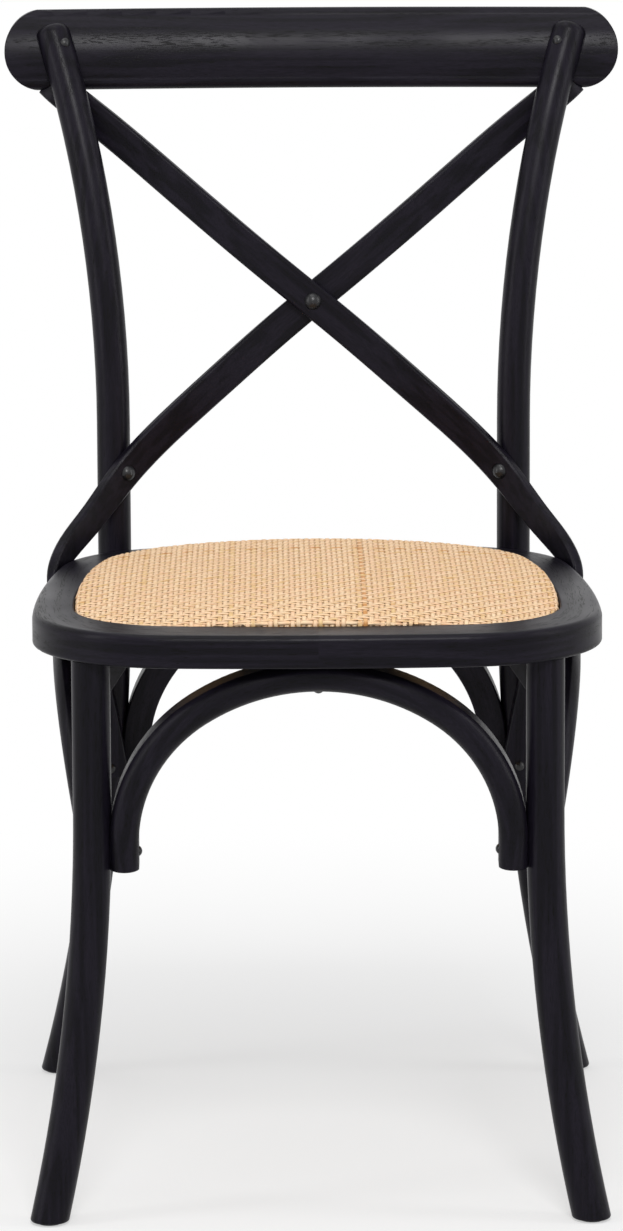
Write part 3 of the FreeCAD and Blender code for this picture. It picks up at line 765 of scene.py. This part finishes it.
@dataclass
class WovenSeat:
    """The seat pad: a twill of rattan strips drawn over a felt-covered pad on a plywood board.

    Each strip goes over two and under two of the crossing strips, one step further on at every
    strip, so that the twill climbs to the right. The rise of a strip over its neighbours is the
    swing. The lift's dip and base make it flat on top of a crossing and steep between two.
    """

    pitch_mm: float = 4.2
    width_mm: float = 3.45
    width_spread: Span = (0.94, 1.04)
    thickness_mm: float = 0.6
    camber_mm: float = 0.22
    swing_mm: float = 0.46
    depth_mm: float = 0.8
    tuck_mm: float = 5.5
    crossings_per_repeat: int = 4
    lift_dip: float = 0.55
    lift_base: float = 0.19
    rows_per_crossing: int = 2
    least_rows: int = 4
    sway_mm: float = 0.16
    sway_length_mm: float = 31.0
    tone_shape: Span = (2.2, 2.8)
    tone_top: float = 0.85
    honey_share: float = 0.012
    honey_tones: Span = (0.9, 1.0)
    pattern_offset_mm: float = 400.0
    front_fill_mm: float = 2.2
    middle_settle_mm: float = 4.8
    settle_start_mm: float = -130.0
    settle_half_width_mm: float = 180.0
    wall_start_mm: float = 2.0
    wall_facing: float = 0.05
    ray_start_mm: float = 10.0
    scan_step_mm: float = 1.0
    least_hits: int = 8
    merge_mm: float = 0.01
    pad_flat_degrees: float = 0.4
    pad_edge_mm: float = 12.0
    pad_cuts: int = 3
    pad_fill: float = 0.8
    seed: int = 7
    skin: BVHTree = field(init=False)
    low: Vector = field(init=False)
    high: Vector = field(init=False)
    rim_height: float = field(init=False)
    centre_y: float = field(init=False)

    def __post_init__(self) -> None:
        """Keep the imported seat's surface, box and the height at which its wall starts."""
        shape = bmesh.new()
        shape.from_mesh(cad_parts["rattan_seat"].data)
        self.skin = BVHTree.FromBMesh(shape)
        shape.free()
        self.low, self.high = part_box("rattan_seat")
        self.rim_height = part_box("seat_ring")[1].z + self.wall_start_mm * MM
        self.centre_y = (self.low.y + self.high.y) / 2

    def look_down(self, x: float, y: float) -> tuple[Vector | None, Vector | None]:
        """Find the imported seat's surface straight under a point.

        Args:
            x: Place to the right, in metres.
            y: Place to the back, in metres.

        Returns:
            The point on the surface and the way that the surface faces, or None for both.
        """
        return self.skin.ray_cast(Vector((x, y, self.high.z + self.ray_start_mm * MM)), DOWN)[:2]

    def drape(self, x: float, y: float) -> tuple[Vector, Vector]:
        """Find the seat's surface under a point, or down its wall where the point is outside.

        Args:
            x: Place to the right, in metres.
            y: Place to the back, in metres.

        Returns:
            The point on the surface and the way that the surface faces there.
        """
        point, facing = self.look_down(x, y)
        if point is not None and facing.z > self.wall_facing:
            return point + Vector((0, 0, self.settle(point))), facing
        rim = self.skin.find_nearest(Vector((x, y, self.rim_height)))[0]
        beyond = min(math.hypot(x - rim.x, y - rim.y), self.tuck_mm * MM)
        point, facing, _, _ = self.skin.find_nearest(Vector((x, y, self.rim_height - beyond)))
        return point, facing

    def settle(self, point: Vector) -> float:
        """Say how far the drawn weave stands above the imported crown.

        The weave lies lower in the middle, where it is flat, and fuller in front.

        Args:
            point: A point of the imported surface.

        Returns:
            The height to add, in metres.
        """
        start = self.settle_start_mm * MM
        aside = max(0.0, 1 - (point.x / (self.settle_half_width_mm * MM)) ** 2)
        if point.y < start:
            share = (point.y - self.low.y) / (start - self.low.y)
            return self.front_fill_mm * MM * math.sin(math.pi * max(0.0, share)) * aside
        share = (point.y - start) / (self.high.y - start)
        return -self.middle_settle_mm * MM * math.sin(math.pi * min(1.0, share)) * aside

    def lift(self, number: float) -> float:
        """Say how high a strip lies at a crossing, from -1 under to 1 over.

        Args:
            number: Count of crossings along the twill.

        Returns:
            The share of the full swing.
        """
        wave = math.cos(math.tau * (number + 0.5) / self.crossings_per_repeat)
        return wave / math.sqrt(wave * wave * self.lift_dip + self.lift_base)

    def extent(self, way: Way, fixed: float) -> Span | None:
        """Find where a strip's line enters and leaves the seat.

        Args:
            way: Which way the strip runs.
            fixed: The line's place across its run, in metres.

        Returns:
            The two ends in metres, or None where the strip misses the seat.
        """
        warp = way is Way.FRONT_TO_BACK
        first, last = (self.low.y, self.high.y) if warp else (self.low.x, self.high.x)
        steps = int((last - first) / (self.scan_step_mm * MM))
        found = []
        for i in range(steps + 1):
            place = first + (last - first) * i / steps
            x, y = (fixed, place) if warp else (place, fixed)
            if self.look_down(x, y)[0] is not None:
                found.append(place)
        if len(found) < self.least_hits:
            return None
        return found[0] - self.tuck_mm * MM, found[-1] + self.tuck_mm * MM

    def weave_strip(self, shape: bmesh.types.BMesh, way: Way, number: int,
                    chance: random.Random) -> None:
        """Add one strip, laid over the seat with its overs and unders.

        Args:
            shape: The shape that gets the strip.
            way: Which way the strip runs.
            number: The strip's number from the middle of the seat.
            chance: Source of the small natural differences.
        """
        warp = way is Way.FRONT_TO_BACK
        pitch = self.pitch_mm * MM
        middle = (number + 0.5) * pitch + (0.0 if warp else self.centre_y)
        ends = self.extent(way, middle)
        if ends is None:
            return
        rows = max(self.least_rows,
                   round((ends[1] - ends[0]) / pitch * self.rows_per_crossing))
        half_width = self.width_mm * chance.uniform(*self.width_spread) / 2 * MM
        tone = chance.betavariate(*self.tone_shape) * self.tone_top
        if chance.random() < self.honey_share:
            tone = chance.uniform(*self.honey_tones)
        phase = chance.uniform(0, math.tau)
        offset = chance.uniform(0, self.pattern_offset_mm)
        made = bmesh.ops.create_grid(shape, x_segments=2, y_segments=rows, size=1.0)["verts"]
        layers = shape.verts.layers.float
        sides = {side: self.extent(way, middle + side * half_width) or ends
                 for side in (-1, 0, 1)}
        for vert in made:
            side, along = vert.co.x, (vert.co.y + 1) / 2
            first, last = sides[round(side)]
            place = first + (last - first) * along
            sway = self.sway_mm * MM * math.sin(place / MM / self.sway_length_mm + phase)
            across = middle + sway + side * half_width
            x, y = (across, place) if warp else (place, across)
            point, facing = self.drape(x, y)
            if warp:
                height = self.lift(number - (place - self.centre_y) / pitch + 0.5)
            else:
                height = -self.lift(place / pitch - 0.5 - number)
            drop = self.depth_mm - self.swing_mm * height + self.camber_mm * side * side
            vert.co = point - facing * (drop * MM)
            vert[layers["tone"]] = tone
            vert[layers["run_mm"]] = place / MM + offset
            vert[layers["side_mm"]] = side * half_width / MM

    def weave(self, way: Way, finish: bpy.types.Material) -> None:
        """Make the piece of all strips that run one way.

        Args:
            way: Which way the strips run.
            finish: The rattan's finish.
        """
        warp = way is Way.FRONT_TO_BACK
        chance = random.Random(self.seed if warp else self.seed + 1)
        span = (self.high.x - self.low.x) if warp else (self.high.y - self.low.y)
        count = int(span / 2 / (self.pitch_mm * MM)) + 1
        shape = bmesh.new()
        for name in ("tone", "run_mm", "side_mm"):
            shape.verts.layers.float.new(name)
        for number in range(-count, count):
            self.weave_strip(shape, way, number, chance)
        if not warp:
            bmesh.ops.reverse_faces(shape, faces=shape.faces[:])
        strips = add_piece("rattan_strips_" + way.value, shape, finish,
                           ("rattan_seat",))
        wall = strips.modifiers.new("strip_thickness", "SOLIDIFY")
        wall.thickness = self.thickness_mm * MM
        wall.offset = -1.0

    def make_pad(self) -> None:
        """Make the felt-covered pad under the strips, settled as they are."""
        shape = bmesh.new()
        shape.from_mesh(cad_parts["seat_padding"].data)
        bmesh.ops.remove_doubles(shape, verts=shape.verts[:], dist=self.merge_mm * MM)
        bmesh.ops.dissolve_limit(shape, angle_limit=math.radians(self.pad_flat_degrees),
                                 verts=shape.verts[:], edges=shape.edges[:])
        bmesh.ops.triangulate(shape, faces=shape.faces[:])
        long_edges = [edge for edge in shape.edges if edge.calc_length() > self.pad_edge_mm * MM]
        bmesh.ops.subdivide_edges(shape, edges=long_edges, cuts=self.pad_cuts,
                                  use_grid_fill=True)
        for vert in shape.verts:
            if vert.co.z > self.rim_height:
                vert.co.z += self.settle(vert.co)
        pad = add_piece("seat_pad", shape, BrownFelt().material(), ("seat_padding",))

    def build(self) -> None:
        """Make the pad and both sets of strips, and dress the board."""
        finish = PeeledRattan().material()
        for way in Way:
            self.weave(way, finish)
        self.make_pad()
        dress("seat_board", BirchPlywood().material())


@dataclass(frozen=True)
class Viewpoint:
    """Camera where the photograph was taken from, worked out from the chair's known sizes."""

    place: Point = (-0.0371, -4.739, 1.2763)
    yaw_degrees: float = 0.4082
    pitch_degrees: float = 10.188
    roll_degrees: float = -0.266
    focal_px: float = 6176.2
    long_side_px: float = 1231.0
    film_mm: float = 36.0
    reach: float = 100.0

    def build(self) -> None:
        """Make the camera."""
        yaw = math.radians(self.yaw_degrees)
        pitch = math.radians(self.pitch_degrees)
        roll = math.radians(self.roll_degrees)
        ahead = Vector((math.sin(yaw) * math.cos(pitch), math.cos(yaw) * math.cos(pitch),
                        -math.sin(pitch)))
        level = Vector((math.cos(yaw), -math.sin(yaw), 0))
        upright = level.cross(ahead)
        right = level * math.cos(roll) + upright * math.sin(roll)
        up = upright * math.cos(roll) - level * math.sin(roll)
        turn = Matrix((right, up, -ahead)).transposed().to_4x4()
        data = bpy.data.cameras.new("camera")
        data.sensor_fit = "AUTO"
        data.sensor_width = self.film_mm
        data.lens = self.focal_px * self.film_mm / self.long_side_px
        data.clip_end = self.reach
        camera = bpy.data.objects.new("camera", data)
        camera.matrix_world = Matrix.Translation(self.place) @ turn
        bpy.context.scene.collection.objects.link(camera)
        bpy.context.scene.camera = camera


@dataclass(frozen=True)
class Softbox:
    """A soft rectangular lamp that points at the chair."""

    name: str
    place: Point
    target: Point
    width: float
    height: float
    watts: float

    def build(self) -> None:
        """Make the lamp."""
        data = bpy.data.lights.new(self.name, "AREA")
        data.shape = "RECTANGLE"
        data.size = self.width
        data.size_y = self.height
        data.energy = self.watts
        lamp = bpy.data.objects.new(self.name, data)
        lamp.location = self.place
        way = Vector(self.target) - Vector(self.place)
        lamp.rotation_euler = way.to_track_quat("-Z", "Y").to_euler()
        bpy.context.scene.collection.objects.link(lamp)


@dataclass(frozen=True)
class Studio:
    """White room: a pale floor that fades to white, a white surround and soft lamps."""

    lamps: tuple[Softbox, ...] = (
        Softbox("key", (0.1, -2.3, 2.4), (0.0, 0.1, 0.75), 0.9, 0.8, 46.0),
        Softbox("overhead", (-0.3, -0.2, 2.7), (0.0, 0.0, 0.45), 1.6, 1.2, 11.0),
        Softbox("left", (-2.2, -0.9, 1.2), (0.0, 0.0, 0.5), 0.5, 1.9, 11.0),
        Softbox("right", (2.2, -0.5, 1.2), (0.0, 0.0, 0.5), 0.5, 1.9, 11.0),
    )
    surround_light: float = 0.38
    floor_size: float = 60.0
    floor_tone: str = "#F4F4F4"
    fade: Span = (0.25, 1.2)
    glow_near: float = 0.5

    def seen_directly(self, tree: Tree) -> Socket:
        """Tell rays that show a thing from rays that only light the chair.

        Args:
            tree: The node tree.

        Returns:
            1 for rays from the camera, a reflection or through glass, and 0 for the rest.
        """
        path = add_node(tree, "ShaderNodeLightPath").outputs
        shown = calculate(tree, "MAXIMUM", path["Is Camera Ray"], path["Is Glossy Ray"])
        return calculate(tree, "MAXIMUM", shown, path["Is Transmission Ray"])

    def make_surround(self) -> None:
        """Make the world white where it shows and softer where it lights."""
        world = bpy.data.worlds.new("studio")
        world.use_nodes = True
        tree = world.node_tree
        tree.nodes.clear()
        strength = remap(tree, self.seen_directly(tree), target=(self.surround_light, 1.0))
        light = add_node(tree, "ShaderNodeBackground", {"Color": WHITE, "Strength": strength})
        add_node(tree, "ShaderNodeOutputWorld", {"Surface": light.outputs[0]})
        bpy.context.scene.world = world

    def floor_finish(self) -> bpy.types.Material:
        """Build the floor's finish, with the chair's shadow near it and white further away.

        Returns:
            The material.
        """
        material, tree = new_tree("pale_floor")
        distance = add_node(tree, "ShaderNodeVectorMath", {0: own_place(tree)},
                            operation="LENGTH").outputs["Value"]
        glow = remap(tree, distance, self.fade, (self.glow_near, 1.0), "SMOOTHSTEP")
        share = calculate(tree, "MULTIPLY", glow, self.seen_directly(tree))
        paint = add_node(tree, "ShaderNodeBsdfDiffuse", {"Color": linear(self.floor_tone)})
        white = add_node(tree, "ShaderNodeEmission", {"Color": WHITE, "Strength": 1.0})
        put_out(tree, add_node(tree, "ShaderNodeMixShader",
                               {0: share, 1: paint.outputs[0], 2: white.outputs[0]}))
        return material

    def make_floor(self) -> None:
        """Make the floor."""
        shape = bmesh.new()
        bmesh.ops.create_grid(shape, x_segments=1, y_segments=1, size=self.floor_size / 2)
        mesh = bpy.data.meshes.new("floor")
        shape.to_mesh(mesh)
        shape.free()
        mesh.materials.append(self.floor_finish())
        floor = bpy.data.objects.new("floor", mesh)
        bpy.context.scene.collection.objects.link(floor)

    def build(self) -> None:
        """Make the room and its lamps, with colours shown plainly."""
        bpy.context.scene.view_settings.view_transform = "Standard"
        self.make_surround()
        self.make_floor()
        for lamp in self.lamps:
            lamp.build()


def main() -> None:
    """Dress the chair, weave its seat, and set up the room and the camera."""
    logging.basicConfig(level=logging.INFO, format="%(name)s: %(message)s")
    WoodenFrame().dress()
    Fastenings().dress()
    WovenSeat().build()
    Studio().build()
    Viewpoint().build()


if __name__ == "__main__":
    main()
